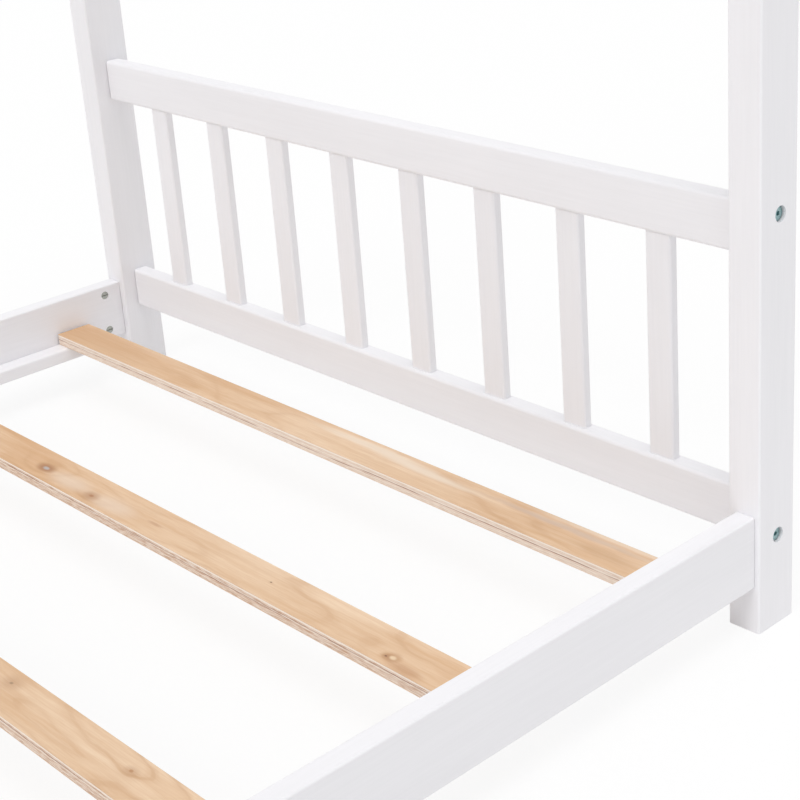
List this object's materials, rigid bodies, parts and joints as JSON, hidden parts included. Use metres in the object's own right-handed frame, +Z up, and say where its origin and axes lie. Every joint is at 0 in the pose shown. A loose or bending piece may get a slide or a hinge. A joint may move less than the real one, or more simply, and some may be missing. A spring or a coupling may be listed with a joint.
{
  "type": "platform bed",
  "caption": "Low white platform bed for a child: railed head and foot ends between tall posts, side rails with cleats, loose plywood slats and a house-shaped roof frame.",
  "frame": {"origin": "centre of the bed's footprint, on the floor", "axes": "+Y along the bed towards the head end, +X to the right seen from the foot end, +Z up"},
  "size_m": [1.058, 2.024, 1.65],
  "materials": {
    "white_paint": "satin white paint on pine",
    "plywood": "raw plywood, birch veneer",
    "zinc_steel": "blue zinc plate",
    "beech_dowel": "raw beech"
  },
  "bodies": {
    "root": {"post_head_left": "white_paint", "post_head_right": "white_paint", "post_foot_left": "white_paint", "post_foot_right": "white_paint", "headboard_top_rail": "white_paint", "headboard_bottom_rail": "white_paint", "footboard_top_rail": "white_paint", "footboard_bottom_rail": "white_paint", "headboard_spindle_1": "white_paint", "headboard_spindle_2": "white_paint", "headboard_spindle_3": "white_paint", "headboard_spindle_4": "white_paint", "headboard_spindle_5": "white_paint", "headboard_spindle_6": "white_paint", "headboard_spindle_7": "white_paint", "headboard_spindle_8": "white_paint", "footboard_spindle_1": "white_paint", "footboard_spindle_2": "white_paint", "footboard_spindle_3": "white_paint", "footboard_spindle_4": "white_paint", "footboard_spindle_5": "white_paint", "footboard_spindle_6": "white_paint", "footboard_spindle_7": "white_paint", "footboard_spindle_8": "white_paint", "side_rail_left": "white_paint", "side_rail_right": "white_paint", "slat_cleat_left": "white_paint", "slat_cleat_right": "white_paint", "rafter_head_left": "white_paint", "rafter_head_right": "white_paint", "rafter_foot_left": "white_paint", "rafter_foot_right": "white_paint", "eave_beam_left": "white_paint", "eave_beam_right": "white_paint", "ridge_beam": "white_paint", "slat_1": "plywood", "slat_2": "plywood", "slat_3": "plywood", "slat_4": "plywood", "slat_5": "plywood", "slat_6": "plywood", "slat_7": "plywood", "slat_8": "plywood", "end_rail_bolts": "zinc_steel", "end_rail_inserts": "zinc_steel", "side_rail_bolts": "zinc_steel", "side_rail_barrel_nuts": "zinc_steel", "eave_bolts": "zinc_steel", "eave_barrel_nuts": "zinc_steel", "ridge_bolts": "zinc_steel", "ridge_barrel_nuts": "zinc_steel", "cleat_screws": "zinc_steel", "end_rail_dowels": "beech_dowel", "eave_dowels": "beech_dowel", "ridge_dowels": "beech_dowel"}
  },
  "joints": []
}
